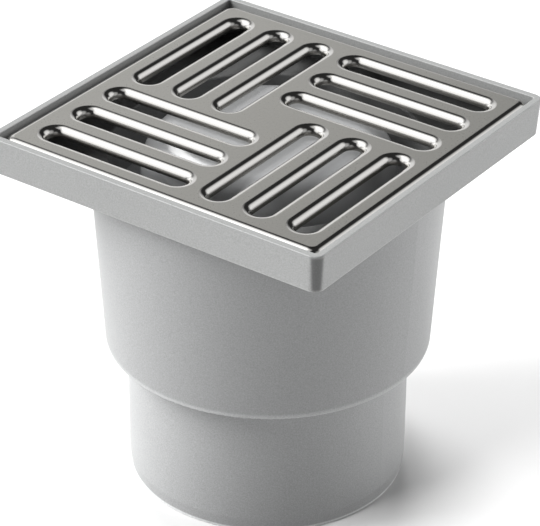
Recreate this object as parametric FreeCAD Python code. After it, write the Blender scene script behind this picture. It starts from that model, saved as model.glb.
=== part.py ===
import FreeCAD, Part
import math
import os

# Floor gully trap: a square top frame with a pressed steel grate, over a round
# trap body with a pipe spigot, and a bell that makes the water seal inside.
# Millimetres. The origin is on the axis, at the foot of the spigot. +Z is up,
# and X and Y run along the sides of the frame.

# Overall
total_height = 152.5
circle = 360.0

# Top frame
frame_side = 150.0
frame_height = 15.0
frame_draft = 0.8
frame_corner = 4.0
frame_overhang = 6.8
skirt_foot_round = 0.4
land_width = 2.9
land_outer_round = 0.5
land_inner_round = 0.3
recess_corner = 1.2
ledge_width = 2.0
chamber_corner = 3.0
floor_thickness = 2.0
mouth_round = 1.0
collar_wall = 2.5
collar_length = 22.0
seat_depth = 0.6
seat_clearance = 0.3

# Rubber ring on the collar
ring_height = 5.0
ring_space = 2.6
ring_body = 0.9
ring_lip = 1.2
ring_clearance = 0.05
ring_rib_height = 1.5
ring_rib_reach = 1.0
ring_rib_drop = 2.0

# Trap body
cup_taper = 4.7
cup_height = 79.5
cup_wall = 2.6
cup_floor = 3.0
cup_edge_round = 1.2
cup_inside_round = 4.0
spigot_radius = 55.0
spigot_wall = 3.0
spigot_root_round = 0.5
lead_in_height = 6.0
lead_in_depth = 0.7
foot_round = 0.8
standpipe_bore_radius = 38.0
standpipe_wall = 2.0
standpipe_height = 55.5
standpipe_root_round = 2.0

# Bell
bell_radius = 48.5
bell_wall = 1.8
bell_shoulder = 15.0
bell_draft = 0.5
bell_under_grate = 1.7
bell_over_floor = 12.0
bell_bead_reach = 0.7
bell_bead_height = 3.0
web_count = 4
web_thickness = 1.8
web_reach_in = 4.0
web_skirt = 14.0
web_clearance = 0.3

# Grate: one sheet, with every edge pressed down in a quarter round
sheet = 0.8
grate_drop = 1.0
grate_gap = 0.6
grate_corner = 5.5
edge_roll = 3.5
slot_width = 7.5
slot_pitch = 19.1
slots_per_group = 3
group_count = 4
side_border = 11.0
end_border = 11.3
group_gap = 11.0

# Heights that follow from the sizes above
rim_top = total_height
frame_under = rim_top - frame_height
floor_top = frame_under + floor_thickness
grate_top = rim_top - grate_drop
ledge_top = grate_top - edge_roll
cup_top = frame_under + seat_depth
cup_foot = frame_under - cup_height
cup_floor_top = cup_foot + cup_floor
standpipe_top = cup_floor_top + standpipe_height
collar_foot = frame_under - collar_length
ring_top = frame_under - ring_rib_drop - ring_rib_height
ring_foot = ring_top - ring_height
bell_top = ledge_top - bell_under_grate
bell_foot = cup_floor_top + bell_over_floor

# Half widths and radii that follow
frame_half = frame_side / 2
recess_half = frame_half - land_width
chamber_half = recess_half - ledge_width
grate_half = recess_half - grate_gap
cup_top_radius = frame_half - frame_overhang
cup_foot_radius = cup_top_radius - cup_taper
collar_radius = cup_top_radius - cup_wall - ring_space
mouth_radius = collar_radius - collar_wall
spigot_bore_radius = spigot_radius - spigot_wall
standpipe_radius = standpipe_bore_radius + standpipe_wall

# Slot groups: each ends a gap away from the side of the group that it runs up to
group_width = (slots_per_group - 1) * slot_pitch + slot_width
group_outer = grate_half - side_border
group_inner = group_outer - group_width
slot_outer_end = grate_half - end_border
slot_inner_end = group_gap - group_inner
slot_length = slot_outer_end - slot_inner_end
group_across = (group_outer + group_inner) / 2
group_along = (slot_outer_end + slot_inner_end) / 2

margin = 1.0


def cup_outer_radius(z):
    """Outer radius of the tapered cup at height z."""
    share = (frame_under - z) / cup_height
    return cup_top_radius + (cup_foot_radius - cup_top_radius) * share


def cup_inner_radius(z):
    return cup_outer_radius(z) - cup_wall


def corner_arc(before, corner, after, radius):
    """Tangent points and middle point of the arc that rounds a corner."""
    to_before = (before - corner).normalize()
    to_after = (after - corner).normalize()
    half_angle = to_before.getAngle(to_after) / 2
    setback = radius / math.tan(half_angle)
    middle = (to_before + to_after).normalize()
    depth = radius / math.sin(half_angle) - radius
    return corner + to_before * setback, corner + middle * depth, corner + to_after * setback


def turned(corners):
    """Solid of revolution about Z from a list of (radius, height, corner round)."""
    points = [FreeCAD.Vector(r, 0, z) for r, z, _ in corners]
    count = len(points)
    edges = []
    starts = []
    ends = []
    for i, (_, _, radius) in enumerate(corners):
        if radius:
            start, middle, end = corner_arc(points[i - 1], points[i], points[(i + 1) % count], radius)
            edges.append(Part.Arc(start, middle, end).toShape())
        else:
            start = end = points[i]
        starts.append(start)
        ends.append(end)
    for i in range(count):
        if ends[i].distanceToPoint(starts[(i + 1) % count]) > 1e-6:
            edges.append(Part.LineSegment(ends[i], starts[(i + 1) % count]).toShape())
    wire = Part.Wire(Part.__sortEdges__(edges))
    return Part.Face(wire).revolve(FreeCAD.Vector(0, 0, 0), FreeCAD.Vector(0, 0, 1), circle)


def rounded_rectangle(half_x, half_y, corner, z, centre=(0.0, 0.0)):
    """Closed wire of a rectangle with round corners, in a level plane."""
    cx, cy = centre
    flat_x = half_x - corner
    flat_y = half_y - corner
    edges = []
    for sx, sy, angle in ((1, 1, 0), (-1, 1, 90), (-1, -1, 180), (1, -1, 270)):
        middle = FreeCAD.Vector(cx + sx * flat_x, cy + sy * flat_y, z)
        arc = Part.Circle(middle, FreeCAD.Vector(0, 0, 1), corner)
        edges.append(Part.Arc(arc, math.radians(angle), math.radians(angle + 90)).toShape())
    sides = []
    for i, arc in enumerate(edges):
        start = arc.Vertexes[-1].Point
        end = edges[(i + 1) % len(edges)].Vertexes[0].Point
        if start.distanceToPoint(end) > 1e-6:
            sides.append(Part.LineSegment(start, end).toShape())
    return Part.Wire(Part.__sortEdges__(edges + sides))


def block(half, corner, low, high):
    """Upright square block with round corners."""
    face = Part.Face(rounded_rectangle(half, half, corner, low))
    return face.extrude(FreeCAD.Vector(0, 0, high - low))


def level_edges(shape, z):
    """Edges of a shape that lie in the level plane at height z."""
    return [edge for edge in shape.Edges
            if abs(edge.BoundBox.ZMin - z) < 1e-4 and abs(edge.BoundBox.ZMax - z) < 1e-4]


def make_top_frame():
    foot_half = frame_half - frame_draft
    outline = [rounded_rectangle(foot_half, foot_half, frame_corner, frame_under),
               rounded_rectangle(frame_half, frame_half, frame_corner, rim_top)]
    skirt = Part.makeLoft(outline, True, True)
    skirt = skirt.makeFillet(skirt_foot_round, level_edges(skirt, frame_under))
    skirt = skirt.makeFillet(land_outer_round, level_edges(skirt, rim_top))

    # Recess for the grate, with a soft upper edge, and the chamber below its ledge
    recess = block(recess_half, recess_corner, ledge_top, rim_top)
    chamber = block(chamber_half, chamber_corner, floor_top, ledge_top + margin)
    frame = skirt.cut(recess).cut(chamber)
    inner_edge = [edge for edge in level_edges(frame, rim_top)
                  if max(abs(edge.CenterOfMass.x), abs(edge.CenterOfMass.y)) <= recess_half + 1e-4]
    frame = frame.makeFillet(land_inner_round, inner_edge)

    # Round mouth in the floor, and a shallow seat below it for the body's rim
    mouth = Part.makeCylinder(mouth_radius, 2 * floor_thickness,
                              FreeCAD.Vector(0, 0, frame_under - floor_thickness))
    seat = Part.makeCylinder(cup_top_radius + seat_clearance, seat_depth + margin,
                             FreeCAD.Vector(0, 0, frame_under - margin))
    frame = frame.cut(mouth).cut(seat)

    # Collar that hangs from the mouth into the body, with two ribs for the ring
    rib_radius = collar_radius + ring_rib_reach
    collar = turned([
        (mouth_radius, frame_under + floor_thickness / 2, 0),
        (mouth_radius, collar_foot, collar_wall / 4),
        (collar_radius, collar_foot, collar_wall / 4),
        (collar_radius, ring_foot - ring_rib_height, 0),
        (rib_radius, ring_foot - ring_rib_height, 0),
        (rib_radius, ring_foot, 0),
        (collar_radius, ring_foot, 0),
        (collar_radius, ring_top, 0),
        (rib_radius, ring_top, 0),
        (rib_radius, ring_top + ring_rib_height, 0),
        (collar_radius, ring_top + ring_rib_height, 0),
        (collar_radius, frame_under, 0),
        (collar_radius, frame_under + floor_thickness / 2, 0),
    ])
    frame = frame.fuse(collar).removeSplitter()
    mouth_edge = [edge for edge in level_edges(frame, floor_top)
                  if abs(edge.BoundBox.XMax - mouth_radius) < 1e-3]
    frame = frame.makeFillet(mouth_round, mouth_edge)
    return frame


def make_seal_ring():
    spine = collar_radius + ring_body
    lips = []
    for z in (ring_foot + ring_lip, ring_top - ring_lip):
        tip = cup_inner_radius(z) - ring_clearance
        lips += [(spine, z - ring_lip / 2, 0), (tip, z, 0), (spine, z + ring_lip / 2, 0)]
    return turned([(collar_radius, ring_foot, 0), (spine, ring_foot, 0)] + lips
                  + [(spine, ring_top, 0), (collar_radius, ring_top, 0)])


def make_trap_body():
    lead_in_radius = spigot_radius - lead_in_depth
    return turned([
        (cup_inner_radius(cup_top), cup_top, 0),
        (cup_outer_radius(cup_top), cup_top, 0),
        (cup_foot_radius, cup_foot, cup_edge_round),
        (spigot_radius, cup_foot, spigot_root_round),
        (spigot_radius, lead_in_height, 0),
        (lead_in_radius, 0, foot_round),
        (spigot_bore_radius, 0, foot_round),
        (spigot_bore_radius, cup_foot, spigot_root_round),
        (standpipe_bore_radius, cup_foot, spigot_root_round),
        (standpipe_bore_radius, standpipe_top, standpipe_wall / 3),
        (standpipe_radius, standpipe_top, standpipe_wall / 3),
        (standpipe_radius, cup_floor_top, standpipe_root_round),
        (cup_inner_radius(cup_floor_top), cup_floor_top, cup_inside_round),
    ])


def make_bell():
    foot_radius = bell_radius + bell_draft
    bead_radius = foot_radius + bell_bead_reach
    inside_top = bell_top - bell_wall
    shell = turned([
        (0, bell_top, 0),
        (bell_radius, bell_top, bell_shoulder),
        (foot_radius, bell_foot + bell_bead_height, 0),
        (bead_radius, bell_foot + bell_bead_height, 0),
        (bead_radius, bell_foot, bell_wall / 3),
        (foot_radius - bell_wall, bell_foot, bell_wall / 3),
        (bell_radius - bell_wall, inside_top, bell_shoulder - bell_wall),
        (0, inside_top, 0),
    ])

    # Webs that sit on the standpipe's rim and keep the bell central on it
    outer = bell_radius - bell_wall / 2
    inner = standpipe_bore_radius - web_reach_in
    beside = standpipe_radius + web_clearance
    foot = standpipe_top - web_skirt
    side = [FreeCAD.Vector(r, -web_thickness / 2, z) for r, z in (
        (inner, bell_top - bell_wall / 2), (inner, standpipe_top), (beside, standpipe_top),
        (beside, foot), (outer, foot), (outer, bell_top - bell_wall / 2))]
    web = Part.Face(Part.makePolygon(side + side[:1])).extrude(FreeCAD.Vector(0, web_thickness, 0))
    within = turned([
        (0, bell_top - bell_wall / 2, 0),
        (bell_radius - bell_wall / 2, bell_top - bell_wall / 2, bell_shoulder - bell_wall / 2),
        (bell_radius - bell_wall / 2, bell_foot, 0),
        (0, bell_foot, 0),
    ])
    web = web.common(within)
    webs = []
    for i in range(web_count):
        turn = circle * (i + 0.5) / web_count
        webs.append(web.rotated(FreeCAD.Vector(0, 0, 0), FreeCAD.Vector(0, 0, 1), turn))
    return shell.fuse(webs).removeSplitter()


def slot_places():
    """Centre and run of every slot: groups of slots turned about the middle."""
    places = []
    for group in range(group_count):
        turn = FreeCAD.Rotation(FreeCAD.Vector(0, 0, 1), circle * group / group_count)
        for i in range(slots_per_group):
            step = (i - (slots_per_group - 1) / 2) * slot_pitch
            centre = turn.multVec(FreeCAD.Vector(-group_across + step, group_along, 0))
            places.append((centre, group % 2 == 0))
    return places


def pressed_form(inset):
    """Slab with its rim and slots rounded over, set in from the sheet's upper face."""
    top = grate_top - inset
    foot = ledge_top - margin
    slab = block(grate_half - inset, grate_corner - inset, foot, top)
    half_width = slot_width / 2 + inset
    half_length = slot_length / 2 + inset
    holes = []
    for centre, along_y in slot_places():
        half_x, half_y = (half_width, half_length) if along_y else (half_length, half_width)
        wire = rounded_rectangle(half_x, half_y, half_width, foot, (centre.x, centre.y))
        holes.append(Part.Face(wire).extrude(FreeCAD.Vector(0, 0, top - foot)))
    slab = slab.cut(Part.makeCompound(holes))
    return slab.makeFillet(edge_roll - inset, level_edges(slab, top))


def make_grate():
    upper = pressed_form(0.0)
    lower = pressed_form(sheet)
    below = block(frame_half, frame_corner, ledge_top - 2 * margin, ledge_top)
    return upper.cut(lower).cut(below)


def export(shape, node):
    solid = shape.Solids[0]
    print(node, len(shape.Solids), "solid", solid.isValid(), round(solid.Volume / 1000, 2), "cm3")
    solid.exportStep(os.path.join("parts", node + ".step"))


os.makedirs("parts", exist_ok=True)
export(make_top_frame(), "top_frame")
export(make_seal_ring(), "seal_ring")
export(make_trap_body(), "trap_body")
export(make_bell(), "bell")
export(make_grate(), "grate")
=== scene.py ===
import math

import bmesh
import bpy
from mathutils import Matrix, Vector


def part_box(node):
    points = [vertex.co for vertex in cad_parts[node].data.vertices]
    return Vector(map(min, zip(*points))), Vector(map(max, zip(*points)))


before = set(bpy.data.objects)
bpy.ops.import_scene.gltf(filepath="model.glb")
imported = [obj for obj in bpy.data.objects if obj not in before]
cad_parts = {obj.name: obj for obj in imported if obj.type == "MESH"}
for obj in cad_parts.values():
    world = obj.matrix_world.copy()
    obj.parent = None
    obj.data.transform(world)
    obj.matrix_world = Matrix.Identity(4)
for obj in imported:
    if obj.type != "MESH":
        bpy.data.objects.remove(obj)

# Looks of a floor gully trap: moulded grey frame and body, a glossy white bell,
# and a pressed steel grate with a satin face and polished rolled edges.
# Everything is in metres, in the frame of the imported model.

bl_info = {
    "name": "Gully trap looks",
    "version": (1, 0, 0),
    "blender": (4, 5, 0),
    "location": "View3D > Sidebar > Gully trap",
    "description": "Finishes, light and camera for a floor gully trap",
    "category": "Object",
}

bpy.context.view_layer.update()
GRATE_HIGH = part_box("grate")[1]
FRAME_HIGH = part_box("top_frame")[1]


class Number:
    """A number socket, so that shader maths reads as plain expressions."""

    def __init__(self, nodes, socket):
        self.nodes = nodes
        self.socket = socket

    def combine(self, operation, first, second):
        node = self.nodes.node("ShaderNodeMath", {"operation": operation}, {0: first, 1: second})
        return Number(self.nodes, node.outputs[0])

    def __add__(self, other):
        return self.combine("ADD", self, other)

    def __radd__(self, other):
        return self.combine("ADD", other, self)

    def __sub__(self, other):
        return self.combine("SUBTRACT", self, other)

    def __rsub__(self, other):
        return self.combine("SUBTRACT", other, self)

    def __mul__(self, other):
        return self.combine("MULTIPLY", self, other)

    def __rmul__(self, other):
        return self.combine("MULTIPLY", other, self)

    def size(self):
        """The number without its sign."""
        return self.combine("ABSOLUTE", self, 0.0)

    def root(self):
        return self.combine("SQRT", self, 0.0)

    def larger(self, other):
        return self.combine("MAXIMUM", self, other)

    def smaller(self, other):
        return self.combine("MINIMUM", self, other)

    def above(self, level, blur):
        """1 above the level and 0 below it, with a soft change as wide as blur."""
        return self.ramp(level - blur / 2, level + blur / 2)

    def below(self, level, blur):
        """1 below the level and 0 above it, with a soft change as wide as blur."""
        return self.ramp(level + blur / 2, level - blur / 2)

    def ramp(self, start, end, high=1.0):
        """Smooth step from 0, up to start, to high, from end on."""
        node = self.nodes.node(
            "ShaderNodeMapRange", {"interpolation_type": "SMOOTHSTEP"},
            {"Value": self, "From Min": start, "From Max": end, "To Max": high})
        return Number(self.nodes, node.outputs["Result"])


class Nodes:
    """The nodes of one tree, added with their settings and inputs."""

    def __init__(self, tree):
        self.tree = tree

    def feed(self, socket, value):
        """Sets a socket to a constant, or links another socket to it."""
        if isinstance(value, Number):
            value = value.socket
        if isinstance(value, bpy.types.NodeSocket):
            self.tree.links.new(value, socket)
        else:
            socket.default_value = value

    def node(self, kind, settings, inputs):
        """Adds a node: its settings first, then the values or links of its sockets."""
        node = self.tree.nodes.new(kind)
        for name, value in settings.items():
            setattr(node, name, value)
        for name, value in inputs.items():
            self.feed(node.inputs[name], value)
        return node


class Finish(Nodes):
    """One procedural material, built round its Principled shader."""

    def __init__(self, name):
        self.material = bpy.data.materials.new(name)
        self.material.use_nodes = True
        super().__init__(self.material.node_tree)
        self.shader = self.tree.nodes["Principled BSDF"]
        self.place = self.node("ShaderNodeTexCoord", {}, {}).outputs["Object"]
        self.paint = None

    def surface(self, **inputs):
        """Feeds the shader's own sockets, named with underscores for spaces."""
        for name, value in inputs.items():
            self.feed(self.shader.inputs[name.replace("_", " ").title()], value)

    def noise(self, size, detail=2.0):
        """Noise with blotches of about this size in metres, from 0 to 1."""
        node = self.node("ShaderNodeTexNoise", {},
                         {"Vector": self.place, "Scale": 1 / size, "Detail": detail})
        return Number(self, node.outputs["Fac"])

    def along(self, axis):
        """Place along one axis, in metres."""
        split = self.node("ShaderNodeSeparateXYZ", {}, {0: self.place})
        return Number(self, split.outputs[axis])

    def tint(self, share, first, second):
        """Colour that goes from first to second with share."""
        node = self.node("ShaderNodeMix", {"data_type": "RGBA"}, {0: share, 6: first, 7: second})
        return node.outputs[2]

    def repaint(self, share, factor):
        """Makes the base colour lighter or darker by factor where share is 1."""
        node = self.node("ShaderNodeVectorMath", {"operation": "SCALE"},
                         {0: self.paint, "Scale": factor})
        self.paint = self.tint(share, self.paint, node.outputs[0])
        self.surface(base_color=self.paint)

    def relief(self, height, depth):
        """Normal of a surface that stands up by height, 0 to 1, times depth in metres."""
        node = self.node("ShaderNodeBump", {}, {"Height": height, "Distance": depth})
        return node.outputs["Normal"]


def shade(colour, factor=1.0):
    """A colour made lighter or darker, opaque."""
    return tuple(channel * factor for channel in colour[:3]) + (1.0,)


def put_finish(node, finish):
    """Gives a CAD node its material on its own slot."""
    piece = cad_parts[node]
    if not piece.material_slots:
        raise RuntimeError(f"{node} has no material slot")
    piece.material_slots[0].material = finish.material


def moulded_finish(name, settings):
    """Moulded polypropylene: fine speckle and grain, faint cloudiness and a soft sheen."""
    finish = Finish(name)
    cloud = finish.noise(settings.cloud_size, detail=3.0)
    grain = finish.noise(settings.grain_size)
    spread = settings.cloud + settings.speckle
    share = (cloud * settings.cloud + grain * settings.speckle) * (1 / spread)
    finish.paint = finish.tint(share, shade(settings.colour, 1 - spread),
                               shade(settings.colour, 1 + spread))
    finish.surface(
        base_color=finish.paint,
        roughness=settings.roughness + (cloud - 0.5) * settings.sheen_change,
        normal=finish.relief(grain, settings.grain_depth),
    )
    finish.shader.inputs["IOR"].default_value = settings.ior
    return finish


def colour_property(name, description, default):
    return bpy.props.FloatVectorProperty(
        name=name, description=description, default=default, size=3,
        subtype="COLOR", min=0.0, max=1.0)


def share_property(name, description, default):
    return bpy.props.FloatProperty(
        name=name, description=description, default=default, min=0.0, max=1.0, subtype="FACTOR")


def length_property(name, description, default):
    return bpy.props.FloatProperty(
        name=name, description=description, default=default, min=0.0,
        precision=5, subtype="DISTANCE", unit="LENGTH")


def number_property(name, description, default):
    return bpy.props.FloatProperty(name=name, description=description, default=default, min=0.0)


def angle_property(name, description, degrees):
    return bpy.props.FloatProperty(
        name=name, description=description, default=math.radians(degrees),
        subtype="ANGLE", unit="ROTATION")


class FrameSettings(bpy.types.PropertyGroup):
    """Finish of the square frame."""
    colour: colour_property("Colour", "Grey of the moulding", (0.230, 0.233, 0.231))
    roughness: share_property("Roughness", "Roughness of the moulded skin", 0.42)
    sheen_change: share_property("Sheen change", "How far the roughness wanders", 0.10)
    cloud: share_property("Clouding", "Faint change of grey over the moulding", 0.02)
    cloud_size: length_property("Cloud size", "Size of that change", 0.020)
    speckle: share_property("Speckle", "Speckle of the mould's fine grain", 0.33)
    grain_size: length_property("Grain size", "Size of the mould's fine grain", 0.0005)
    grain_depth: length_property("Grain depth", "Depth of the grain", 0.000006)
    ior: number_property("IOR", "Refractive index of the plastic", 1.49)
    skirt: length_property("Skirt", "Height of the skirt", 0.015)
    skirt_wall: length_property("Skirt wall", "How far in the skirt's outer face may lie", 0.00125)
    wall: length_property("Wall", "Distance of the recess from the outside", 0.004)
    recess: length_property("Recess", "Depth at which the tray begins", 0.005)
    corner_radius: length_property("Corner radius", "Radius of the upright corners", 0.004)
    line: length_property("Line", "Width of the painted-light lines", 0.0005)
    blur: length_property("Blur", "Softness of the painted-light lines", 0.0002)
    fade: length_property("Fade", "Softness of the corners' and the tray's tone", 0.0014)
    # Painted highlight on the top face of the land
    land_highlight_tone: number_property("Land highlight", "Lightness of the highlight-painted land round the grate", 1.08)
    # Painted shade along the skirt's upper outer edge
    rim_shade_tone: number_property("Rim shade", "Lightness of the skirt's upper edge", 0.88)
    # Painted highlight along the skirt's lower edge
    foot_highlight_tone: number_property("Foot highlight", "Lightness of the skirt's lower edge", 1.20)
    # Painted shade on the upright corners
    corner_shade_tone: number_property("Corner shade", "Lightness of the upright corners", 0.38)
    # Painted shade on the tray inside the recess
    tray_shade_tone: number_property("Tray shade", "Lightness of the shade-painted tray", 0.5)


class BodySettings(bpy.types.PropertyGroup):
    """Finish of the round trap body."""
    colour: colour_property("Colour", "Grey of the moulding", (0.236, 0.239, 0.240))
    roughness: share_property("Roughness", "Roughness of the moulded skin", 0.46)
    sheen_change: share_property("Sheen change", "How far the roughness wanders", 0.10)
    cloud: share_property("Clouding", "Faint change of grey over the moulding", 0.02)
    cloud_size: length_property("Cloud size", "Size of that change", 0.030)
    speckle: share_property("Speckle", "Speckle of the mould's fine grain", 0.33)
    grain_size: length_property("Grain size", "Size of the mould's fine grain", 0.0005)
    grain_depth: length_property("Grain depth", "Depth of the grain", 0.000006)
    ior: number_property("IOR", "Refractive index of the plastic", 1.49)
    step_height: length_property("Step height", "Height of the cup's lower edge", 0.058)
    step_radius: length_property("Step radius", "Radius of the cup's lower edge", 0.0635)
    step_round: length_property("Step round", "Radius of the round along that edge", 0.0012)
    step_fade: length_property("Step fade", "How far up the painted-light line fades", 0.0030)
    foot_line: length_property("Foot line", "Width of the painted-light line along the foot", 0.0014)
    blur: length_property("Blur", "Softness of the painted-light lines", 0.0004)
    # Painted highlight along the cup's lower edge
    step_highlight_tone: number_property("Step highlight", "Lightness of the cup's painted-light lower edge", 1.40)
    # Painted bounce light on the spigot
    spigot_bounce_light_tone: number_property("Spigot bounce light", "Lightness of the spigot's painted bounce light", 1.10)
    # Painted highlight along the spigot's foot
    foot_highlight_tone: number_property("Foot highlight", "Lightness of the spigot's painted-light foot", 2.2)


class BellSettings(bpy.types.PropertyGroup):
    """Finish of the bell."""
    colour: colour_property("Colour", "White of the moulding", (0.74, 0.75, 0.76))
    roughness: share_property("Roughness", "Roughness of the glossy skin", 0.16)
    sheen_change: share_property("Sheen change", "How far the roughness wanders", 0.05)
    cloud: share_property("Clouding", "Faint change of white over the moulding", 0.01)
    cloud_size: length_property("Cloud size", "Size of that change", 0.020)
    speckle: share_property("Speckle", "Speckle of the mould's fine grain", 0.02)
    grain_size: length_property("Grain size", "Size of the mould's fine grain", 0.0015)
    grain_depth: length_property("Grain depth", "Depth of the grain", 0.000003)
    ior: number_property("IOR", "Refractive index of the plastic", 1.49)


class SealSettings(bpy.types.PropertyGroup):
    """Finish of the rubber ring."""
    colour: colour_property("Colour", "Black of the rubber", (0.022, 0.022, 0.023))
    roughness: share_property("Roughness", "Roughness of the rubber", 0.62)
    sheen_change: share_property("Sheen change", "How far the roughness wanders", 0.10)
    bloom: share_property("Bloom", "Pale bloom on the rubber", 0.35)
    bloom_size: length_property("Bloom size", "Size of the bloom's patches", 0.006)
    grain_size: length_property("Grain size", "Size of the rubber's grain", 0.0004)
    grain_depth: length_property("Grain depth", "Depth of the grain", 0.00002)


class GrateSettings(bpy.types.PropertyGroup):
    """Finish of the pressed steel grate."""
    face_colour: colour_property("Face colour", "Steel of the satin face", (0.58, 0.57, 0.535))
    roll_colour: colour_property("Edge colour", "Steel of the polished edges", (0.72, 0.71, 0.69))
    lip_colour: colour_property("Lip colour", "Steel of the drawn lower lips", (0.36, 0.35, 0.33))
    face_roughness: share_property("Face roughness", "Roughness of the satin face", 0.30)
    roll_roughness: share_property("Edge roughness", "Roughness of the polished edges", 0.11)
    lip_roughness: share_property("Lip roughness", "Roughness of the drawn lower lips", 0.32)
    bend_start: length_property("Bend start", "Drop at which the polish begins", 0.000002)
    bend_end: length_property("Bend end", "Drop at which the polish is full", 0.00003)
    lip_start: length_property("Lip start", "Drop at which the drawn lip begins", 0.0017)
    lip_end: length_property("Lip end", "Drop at which the drawn lip is full", 0.0023)
    speckle: share_property("Speckle", "Speckle of the satin grain", 0.16)
    grain_size: length_property("Grain size", "Size of the satin grain", 0.0006)
    smear_size: length_property("Smear size", "Size of the faint smears", 0.018)
    smear_share: share_property("Smear share", "Share of the smears in the face's mottle", 0.15)
    grain_sheen: share_property("Grain sheen", "How far the grain changes the roughness", 0.12)
    smear_sheen: share_property("Smear sheen", "How far the smears change the roughness", 0.04)
    grain_depth: length_property("Grain depth", "Depth of the satin grain", 0.000004)


class StageSettings(bpy.types.PropertyGroup):
    """Floor, light and camera."""
    floor_colour: colour_property("Floor colour", "White of the floor", (0.75, 0.75, 0.75))
    floor_roughness: share_property("Floor roughness", "Roughness of the matt floor", 0.9)
    floor_side: length_property("Floor side", "Side of the square floor", 6.0)
    air: number_property("Air", "Brightness of the room all round", 0.025)
    camera_turn: angle_property("Camera turn", "Turn of the camera round the trap", 35.67)
    camera_rise: angle_property("Camera rise", "Rise of the camera above level", 30.93)
    camera_roll: angle_property("Camera roll", "Roll of the camera about its view", 0.41)
    camera_distance: length_property("Camera distance", "Distance from the aim", 1.0749)
    aim: bpy.props.FloatVectorProperty(
        name="Aim", description="Point that the camera looks at", default=(0.0005, 0.0004, 0.0883),
        precision=4, subtype="TRANSLATION", unit="LENGTH")
    lens: number_property("Lens", "Focal length in millimetres", 185.5)
    sensor: number_property("Sensor", "Width of the sensor in millimetres", 36.0)


class SceneOperator(bpy.types.Operator):
    """Shared behaviour of this file's operators"""
    bl_options = {"REGISTER", "UNDO"}


class GULLY_OT_finish_frame(SceneOperator):
    """Gives the square frame its moulded grey finish"""
    bl_idname = "gully.finish_frame"
    bl_label = "Finish frame"

    def execute(self, context):
        settings = context.scene.gully_frame
        finish = moulded_finish("Frame moulding", settings)
        height = finish.along("Z")
        away_x = finish.along("X").size()
        away_y = finish.along("Y").size()
        outward = away_x.larger(away_y)
        half, rim = FRAME_HIGH.x, FRAME_HIGH.z
        foot = rim - settings.skirt
        line, blur, fade = settings.line, settings.blur, settings.fade

        # Painted highlight on the land round the grate, painted shade along the skirt's upper edge and
        # a painted highlight along its lower edge
        skirt_face = outward.above(half - settings.skirt_wall, blur)
        upper_edge_shade = outward.above(half - line, blur) * height.above(rim - line, blur)
        finish.repaint(height.above(rim - blur, blur), settings.land_highlight_tone)
        finish.repaint(upper_edge_shade, settings.rim_shade_tone)
        finish.repaint(skirt_face * height.below(foot + line, line), settings.foot_highlight_tone)

        # Painted shade on the upright corners, darkest in the middle of their round
        corner = away_x.smaller(away_y).ramp(half - settings.corner_radius,
                                             half - settings.corner_radius + fade)
        skirt_height = height.ramp(rim, rim - fade) * height.ramp(foot, foot + fade)
        finish.repaint(corner * skirt_height, settings.corner_shade_tone)

        # Painted shade on the tray inside the recess
        inside = outward.below(half - settings.wall, fade) * height.below(rim - settings.recess, fade)
        finish.repaint(inside, settings.tray_shade_tone)
        put_finish("top_frame", finish)
        return {"FINISHED"}


class GULLY_OT_finish_body(SceneOperator):
    """Gives the trap body its moulded grey finish"""
    bl_idname = "gully.finish_body"
    bl_label = "Finish trap body"

    def execute(self, context):
        settings = context.scene.gully_body
        finish = moulded_finish("Body moulding", settings)
        height = finish.along("Z")
        x, y = finish.along("X"), finish.along("Y")
        radius = (x * x + y * y).root()
        step, step_round = settings.step_height, settings.step_round

        # Painted highlight along the cup's rounded lower edge
        cup_edge_highlight = (radius.above(settings.step_radius - step_round, settings.blur)
                    * height.ramp(step + settings.step_fade, step + step_round))
        finish.repaint(cup_edge_highlight, settings.step_highlight_tone)

        # Painted bounce light on the spigot, and a painted highlight along its foot
        finish.repaint(height.ramp(step, step - settings.step_fade), settings.spigot_bounce_light_tone)
        finish.repaint(height.below(settings.foot_line, settings.blur * 2), settings.foot_highlight_tone)
        put_finish("trap_body", finish)
        return {"FINISHED"}


class GULLY_OT_finish_bell(SceneOperator):
    """Gives the bell its glossy white finish"""
    bl_idname = "gully.finish_bell"
    bl_label = "Finish bell"

    def execute(self, context):
        put_finish("bell", moulded_finish("Bell moulding", context.scene.gully_bell))
        return {"FINISHED"}


class GULLY_OT_finish_seal(SceneOperator):
    """Gives the rubber ring its black finish with a faint bloom"""
    bl_idname = "gully.finish_seal"
    bl_label = "Finish rubber ring"

    def execute(self, context):
        settings = context.scene.gully_seal
        finish = Finish("Seal rubber")
        bloom = finish.noise(settings.bloom_size, detail=4.0)
        grain = finish.noise(settings.grain_size)
        finish.surface(
            base_color=finish.tint(bloom, shade(settings.colour),
                                   shade(settings.colour, 1 + settings.bloom)),
            roughness=settings.roughness + (bloom - 0.5) * settings.sheen_change,
            normal=finish.relief(grain, settings.grain_depth),
        )
        put_finish("seal_ring", finish)
        return {"FINISHED"}


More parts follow.
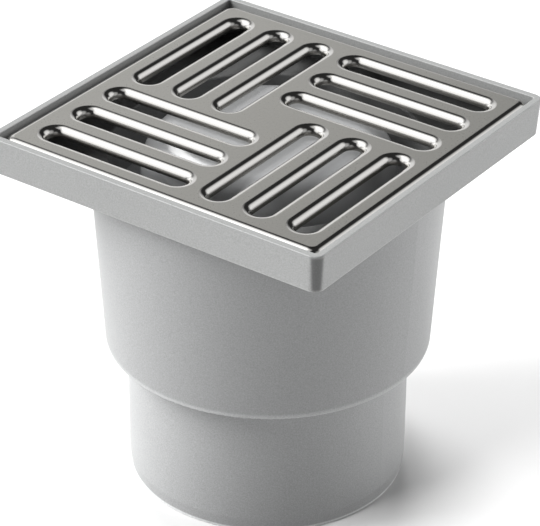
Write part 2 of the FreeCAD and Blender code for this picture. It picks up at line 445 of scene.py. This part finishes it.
class GULLY_OT_finish_grate(SceneOperator):
    """Gives the grate its satin face, polished rolled edges and drawn lips"""
    bl_idname = "gully.finish_grate"
    bl_label = "Finish grate"

    def execute(self, context):
        settings = context.scene.gully_grate
        finish = Finish("Grate steel")
        drop = GRATE_HIGH.z - finish.along("Z")
        bent = drop.ramp(settings.bend_start, settings.bend_end)
        drawn = drop.ramp(settings.lip_start, settings.lip_end)
        grain = finish.noise(settings.grain_size)
        smear = finish.noise(settings.smear_size, detail=3.0)
        mottle = smear * settings.smear_share + grain * (1 - settings.smear_share)
        face = finish.tint(mottle, shade(settings.face_colour, 1 - settings.speckle),
                           shade(settings.face_colour, 1 + settings.speckle))
        polished = finish.tint(bent, face, shade(settings.roll_colour))
        face_roughness = (settings.face_roughness + (grain - 0.5) * settings.grain_sheen
                          + (smear - 0.5) * settings.smear_sheen)
        edge_roughness = (settings.roll_roughness
                          + drawn * (settings.lip_roughness - settings.roll_roughness))
        finish.surface(
            base_color=finish.tint(drawn, polished, shade(settings.lip_colour)),
            roughness=face_roughness * (1 - bent) + edge_roughness * bent,
            normal=finish.relief(grain * (1 - bent) + 0.5 * bent, settings.grain_depth),
        )
        finish.shader.inputs["Metallic"].default_value = 1.0
        put_finish("grate", finish)
        return {"FINISHED"}


# Soft boxes round the room: name, turn from the camera to the right, rise above the floor,
# reach from the middle to the soft edge, all in degrees, and brightness
BOXES = (
    ("left high", -120.0, 50.0, 30.0, 1.4),
    ("left low", -120.0, 18.0, 28.0, 1.0),
    ("left front", -78.0, 38.0, 30.0, 1.3),
    ("left top", -90.0, 70.0, 24.0, 0.7),
    ("left floor", -140.0, 4.0, 24.0, 0.8),
    ("back low", -170.0, 14.0, 30.0, 0.9),
    ("right front", 60.0, 35.0, 30.0, 0.45),
    ("right", 105.0, 32.0, 30.0, 0.95),
    ("right floor", 120.0, 4.0, 24.0, 0.4),
    ("front low", 10.0, 14.0, 32.0, 0.35),
)

# Soft lamps with flags, so that each lights one thing: name, what it lights, turn, rise,
# apparent width and strength
LAMPS = (
    ("floor left", "floor", -85.0, 25.0, 16.0, 2.1),
    ("floor front", "floor", -55.0, 55.0, 20.0, 1.7),
    ("floor back", "floor", 180.0, 25.0, 16.0, 1.35),
    ("floor back high", "floor", -165.0, 70.0, 20.0, 1.9),
    ("bell back", "bell", -160.0, 38.0, 20.0, 1.3),
    ("plastic left low", "plastic", -110.0, 12.0, 40.0, 1.6),
    ("plastic left high", "plastic", -92.0, 40.0, 40.0, 5.7),
    ("plastic right", "plastic", 115.0, 12.0, 40.0, 2.9),
)


def towards(settings, turn, rise):
    """Unit vector to a light, from its turn past the camera and its rise in degrees."""
    turn = settings.camera_turn + math.radians(turn)
    rise = math.radians(rise)
    return Vector((math.sin(turn) * math.cos(rise), -math.cos(turn) * math.cos(rise), math.sin(rise)))


def group_of(name, members):
    group = bpy.data.collections.new(name)
    for member in members:
        group.objects.link(member)
    return group


class GULLY_OT_build_stage(SceneOperator):
    """Lays the white floor and sets up the soft lights and the camera"""
    bl_idname = "gully.build_stage"
    bl_label = "Build stage"

    def execute(self, context):
        settings = context.scene.gully_stage
        floor = self.lay_floor(context.scene, settings)
        self.light_room(context.scene, settings)
        self.hang_lamps(context.scene, settings, floor)
        self.place_camera(context.scene, settings)
        context.scene.view_settings.view_transform = "Standard"
        return {"FINISHED"}

    def lay_floor(self, scene, settings):
        mesh = bpy.data.meshes.new("floor")
        form = bmesh.new()
        bmesh.ops.create_grid(form, x_segments=1, y_segments=1, size=settings.floor_side / 2)
        form.to_mesh(mesh)
        form.free()
        floor = bpy.data.objects.new("floor", mesh)
        scene.collection.objects.link(floor)
        finish = Finish("Floor paper")
        finish.surface(base_color=shade(settings.floor_colour), roughness=settings.floor_roughness)
        finish.shader.inputs["Specular IOR Level"].default_value = 0.0
        mesh.materials.append(finish.material)
        return floor

    def light_room(self, scene, settings):
        """Large soft boxes far round the room, as glows of its wall."""
        world = bpy.data.worlds.new("Studio room")
        world.use_nodes = True
        scene.world = world
        room = Nodes(world.node_tree)
        direction = room.node("ShaderNodeTexCoord", {}, {}).outputs["Generated"]
        light = settings.air
        for name, turn, rise, reach, brightness in BOXES:
            facing = room.node("ShaderNodeVectorMath", {"operation": "DOT_PRODUCT"},
                               {0: direction, 1: towards(settings, turn, rise)})
            facing.label = name
            edge = math.cos(math.radians(reach))
            light = Number(room, facing.outputs["Value"]).ramp(edge, 1.0, brightness) + light
        background = world.node_tree.nodes["Background"]
        room.feed(background.inputs["Color"], (1.0, 1.0, 1.0, 1.0))
        room.feed(background.inputs["Strength"], light)

    def hang_lamps(self, scene, settings, floor):
        body, frame_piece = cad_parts["trap_body"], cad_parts["top_frame"]
        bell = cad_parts["bell"]
        lit = {"floor": group_of("Floor light", [floor]),
               "bell": group_of("Bell light", [bell]),
               "plastic": group_of("Plastic light", [body, frame_piece])}
        shading = {"floor": group_of("Floor shadow", [body]),
                   "bell": group_of("Bell shadow", [bell])}
        for name, target, turn, rise, width, strength in LAMPS:
            lamp = bpy.data.lights.new(name, "SUN")
            lamp.energy = strength
            lamp.angle = math.radians(width)
            light = bpy.data.objects.new(name, lamp)
            light.rotation_euler = (-towards(settings, turn, rise)).to_track_quat("-Z", "Y").to_euler()
            light.light_linking.receiver_collection = lit[target]
            if target in shading:
                light.light_linking.blocker_collection = shading[target]
            scene.collection.objects.link(light)

    def place_camera(self, scene, settings):
        """A long lens, aimed at a point near the trap's axis and rolled a little."""
        back = towards(settings, 0.0, math.degrees(settings.camera_rise))
        level = back.to_track_quat("Z", "Y").to_matrix()
        turn = Matrix.Rotation(settings.camera_roll, 3, back) @ level
        place = Vector(settings.aim) + back * settings.camera_distance
        lens = bpy.data.cameras.new("camera")
        lens.lens = settings.lens
        lens.sensor_width = settings.sensor
        camera = bpy.data.objects.new("camera", lens)
        camera.matrix_world = Matrix.Translation(place) @ turn.to_4x4()
        scene.collection.objects.link(camera)
        scene.camera = camera


class GULLY_PT_looks(bpy.types.Panel):
    """Lists the steps that dress the gully trap"""
    bl_idname = "GULLY_PT_looks"
    bl_label = "Gully trap"
    bl_space_type = "VIEW_3D"
    bl_region_type = "UI"
    bl_category = "Gully trap"

    def draw(self, context):
        column = self.layout.column()
        for operator in STEPS:
            column.operator(operator.bl_idname)
        for name in SETTINGS:
            box = self.layout.box()
            settings = getattr(context.scene, name)
            for prop in settings.bl_rna.properties:
                if prop.identifier not in ("rna_type", "name"):
                    box.prop(settings, prop.identifier)


SETTINGS = {
    "gully_frame": FrameSettings,
    "gully_body": BodySettings,
    "gully_bell": BellSettings,
    "gully_seal": SealSettings,
    "gully_grate": GrateSettings,
    "gully_stage": StageSettings,
}

STEPS = (
    GULLY_OT_finish_frame,
    GULLY_OT_finish_body,
    GULLY_OT_finish_bell,
    GULLY_OT_finish_seal,
    GULLY_OT_finish_grate,
    GULLY_OT_build_stage,
)


def register():
    for name, group in SETTINGS.items():
        bpy.utils.register_class(group)
        setattr(bpy.types.Scene, name, bpy.props.PointerProperty(type=group))
    for operator in STEPS:
        bpy.utils.register_class(operator)
    bpy.utils.register_class(GULLY_PT_looks)


def unregister():
    bpy.utils.unregister_class(GULLY_PT_looks)
    for operator in reversed(STEPS):
        bpy.utils.unregister_class(operator)
    for name, group in reversed(SETTINGS.items()):
        delattr(bpy.types.Scene, name)
        bpy.utils.unregister_class(group)


def main():
    register()
    bpy.ops.gully.finish_frame()
    bpy.ops.gully.finish_body()
    bpy.ops.gully.finish_bell()
    bpy.ops.gully.finish_seal()
    bpy.ops.gully.finish_grate()
    bpy.ops.gully.build_stage()
    bpy.context.view_layer.update()


if __name__ == "__main__":
    main()
